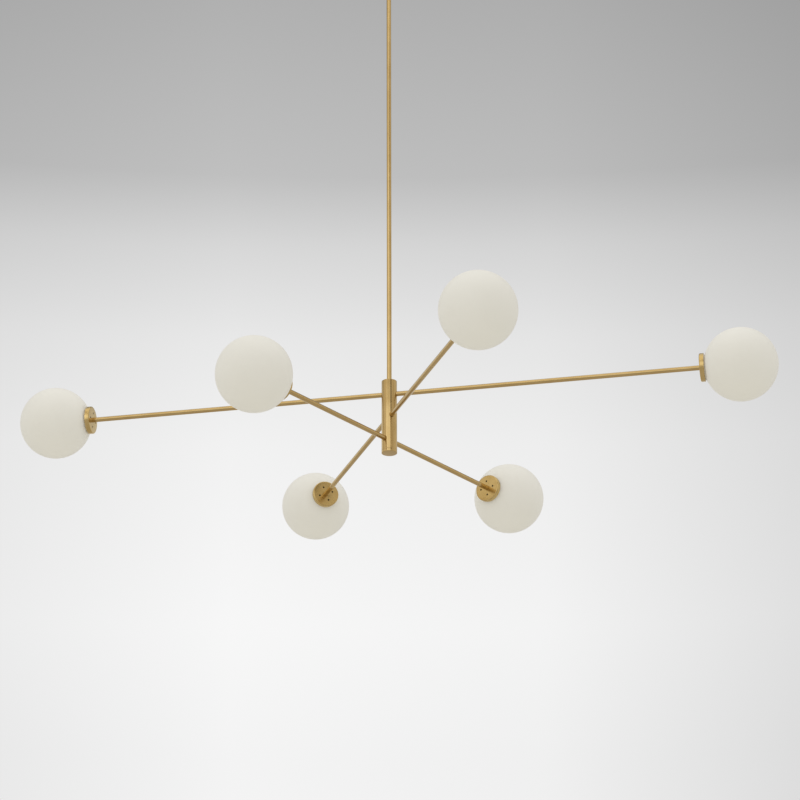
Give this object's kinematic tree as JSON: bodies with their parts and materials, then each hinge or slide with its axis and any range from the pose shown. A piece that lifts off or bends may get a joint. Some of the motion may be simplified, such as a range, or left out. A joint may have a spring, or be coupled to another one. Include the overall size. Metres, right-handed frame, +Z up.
{
  "type": "branch chandelier",
  "caption": "Ceiling chandelier: opal glass globes on straight brass arms that cross at levels up a slim tube hub, hung from a long drop rod and a round canopy.",
  "frame": {"origin": "centre of the top face of the ceiling bracket, on the drop rod's axis, where the ceiling is", "axes": "+Z up, out of the bracket's top face into the ceiling; +X along the right-hand upper arm, the longest direction; +Y completes a right-handed frame, away from the picture's viewer"},
  "size_m": [1.594, 1.0784, 1.246],
  "materials": {
    "satin_brass": "satin, finely streaked along the tubes",
    "plain_brass": "as turned, unlacquered",
    "zinc_steel": "zinc plated",
    "cable_sheath": "smooth sheath",
    "connector_plastic": "moulded",
    "ceramic": "unglazed ceramic",
    "lamp_glass": "frosted",
    "gasket_rubber": "matt silicone",
    "opal_glass": "matt opal"
  },
  "bodies": {
    "ceiling": {"ceiling_bracket": "zinc_steel", "earth_screw": "plain_brass", "canopy_studs": "zinc_steel", "stud_nuts": "zinc_steel", "canopy": "satin_brass", "canopy_nuts": "satin_brass"},
    "swivel": {"ball_seat": "satin_brass"},
    "fixture": {"swivel_ball": "satin_brass", "drop_rod": "satin_brass", "rod_lock_nut": "plain_brass", "drop_cable": "cable_sheath", "supply_connector": "connector_plastic", "hub": "satin_brass", "hub_cap": "satin_brass", "wire_joints": "connector_plastic", "lamp_leads": "cable_sheath", "arm_nuts": "plain_brass", "stirrup_screws": "zinc_steel", "arm_upper_right": "satin_brass", "shade_holder_upper_right": "satin_brass", "stirrup_upper_right": "zinc_steel", "lampholder_upper_right": "ceramic", "bulb_upper_right": "lamp_glass", "arm_upper_left": "satin_brass", "shade_holder_upper_left": "satin_brass", "stirrup_upper_left": "zinc_steel", "lampholder_upper_left": "ceramic", "bulb_upper_left": "lamp_glass", "arm_middle_front": "satin_brass", "shade_holder_middle_front": "satin_brass", "stirrup_middle_front": "zinc_steel", "lampholder_middle_front": "ceramic", "bulb_middle_front": "lamp_glass", "arm_middle_back": "satin_brass", "shade_holder_middle_back": "satin_brass", "stirrup_middle_back": "zinc_steel", "lampholder_middle_back": "ceramic", "bulb_middle_back": "lamp_glass", "arm_lower_front": "satin_brass", "shade_holder_lower_front": "satin_brass", "stirrup_lower_front": "zinc_steel", "lampholder_lower_front": "ceramic", "bulb_lower_front": "lamp_glass", "arm_lower_back": "satin_brass", "shade_holder_lower_back": "satin_brass", "stirrup_lower_back": "zinc_steel", "lampholder_lower_back": "ceramic", "bulb_lower_back": "lamp_glass"},
    "gasket_upper_right": {"gasket_upper_right": "gasket_rubber"},
    "globe_upper_right": {"globe_upper_right": "opal_glass"},
    "gasket_upper_left": {"gasket_upper_left": "gasket_rubber"},
    "globe_upper_left": {"globe_upper_left": "opal_glass"},
    "gasket_middle_front": {"gasket_middle_front": "gasket_rubber"},
    "globe_middle_front": {"globe_middle_front": "opal_glass"},
    "gasket_middle_back": {"gasket_middle_back": "gasket_rubber"},
    "globe_middle_back": {"globe_middle_back": "opal_glass"},
    "gasket_lower_front": {"gasket_lower_front": "gasket_rubber"},
    "globe_lower_front": {"globe_lower_front": "opal_glass"},
    "gasket_lower_back": {"gasket_lower_back": "gasket_rubber"},
    "globe_lower_back": {"globe_lower_back": "opal_glass"}
  },
  "joints": [
    {"name": "seat_turn", "type": "hinge", "parent": "ceiling", "child": "swivel", "pos_m": [0, 0, -0.0485], "axis": [0, 0, 1], "range_deg": [-170, 170]},
    {"name": "rod_tilt", "type": "hinge", "parent": "swivel", "child": "fixture", "pos_m": [0, 0, -0.0485], "axis": [1, 0, 0], "range_deg": [-20, 20]},
    {"name": "globe_travel_upper_right", "type": "slide", "parent": "fixture", "child": "gasket_upper_right", "axis": [1, 0, 0], "range_m": [0, 0.006]},
    {"name": "globe_turn_upper_right", "type": "hinge", "parent": "gasket_upper_right", "child": "globe_upper_right", "pos_m": [0.64, 0, -1.069], "axis": [1, 0, 0], "range_deg": [0, 720]},
    {"name": "globe_travel_upper_left", "type": "slide", "parent": "fixture", "child": "gasket_upper_left", "axis": [-1, 0, 0], "range_m": [0, 0.006]},
    {"name": "globe_turn_upper_left", "type": "hinge", "parent": "gasket_upper_left", "child": "globe_upper_left", "pos_m": [-0.64, 0, -1.069], "axis": [-1, 0, 0], "range_deg": [0, 720]},
    {"name": "globe_travel_middle_front", "type": "slide", "parent": "fixture", "child": "gasket_middle_front", "axis": [0.5, -0.866, 0], "range_m": [0, 0.006]},
    {"name": "globe_turn_middle_front", "type": "hinge", "parent": "gasket_middle_front", "child": "globe_middle_front", "pos_m": [0.227, -0.39318, -1.12], "axis": [0.5, -0.866, 0], "range_deg": [0, 720]},
    {"name": "globe_travel_middle_back", "type": "slide", "parent": "fixture", "child": "gasket_middle_back", "axis": [-0.5, 0.866, 0], "range_m": [0, 0.006]},
    {"name": "globe_turn_middle_back", "type": "hinge", "parent": "gasket_middle_back", "child": "globe_middle_back", "pos_m": [-0.227, 0.39318, -1.12], "axis": [-0.5, 0.866, 0], "range_deg": [0, 720]},
    {"name": "globe_travel_lower_front", "type": "slide", "parent": "fixture", "child": "gasket_lower_front", "axis": [-0.4384, -0.8988, 0], "range_m": [0, 0.006]},
    {"name": "globe_turn_lower_front", "type": "hinge", "parent": "gasket_lower_front", "child": "globe_lower_front", "pos_m": [-0.14905, -0.30559, -1.171], "axis": [-0.4384, -0.8988, 0], "range_deg": [0, 720]},
    {"name": "globe_travel_lower_back", "type": "slide", "parent": "fixture", "child": "gasket_lower_back", "axis": [0.4384, 0.8988, 0], "range_m": [0, 0.006]},
    {"name": "globe_turn_lower_back", "type": "hinge", "parent": "gasket_lower_back", "child": "globe_lower_back", "pos_m": [0.14905, 0.30559, -1.171], "axis": [0.4384, 0.8988, 0], "range_deg": [0, 720]}
  ],
  "couplings": [
    {"joint": "globe_travel_upper_right", "follows": "globe_turn_upper_right", "m_per_rad": 0.00047746},
    {"joint": "globe_travel_upper_left", "follows": "globe_turn_upper_left", "m_per_rad": 0.00047746},
    {"joint": "globe_travel_middle_front", "follows": "globe_turn_middle_front", "m_per_rad": 0.00047746},
    {"joint": "globe_travel_middle_back", "follows": "globe_turn_middle_back", "m_per_rad": 0.00047746},
    {"joint": "globe_travel_lower_front", "follows": "globe_turn_lower_front", "m_per_rad": 0.00047746},
    {"joint": "globe_travel_lower_back", "follows": "globe_turn_lower_back", "m_per_rad": 0.00047746}
  ]
}
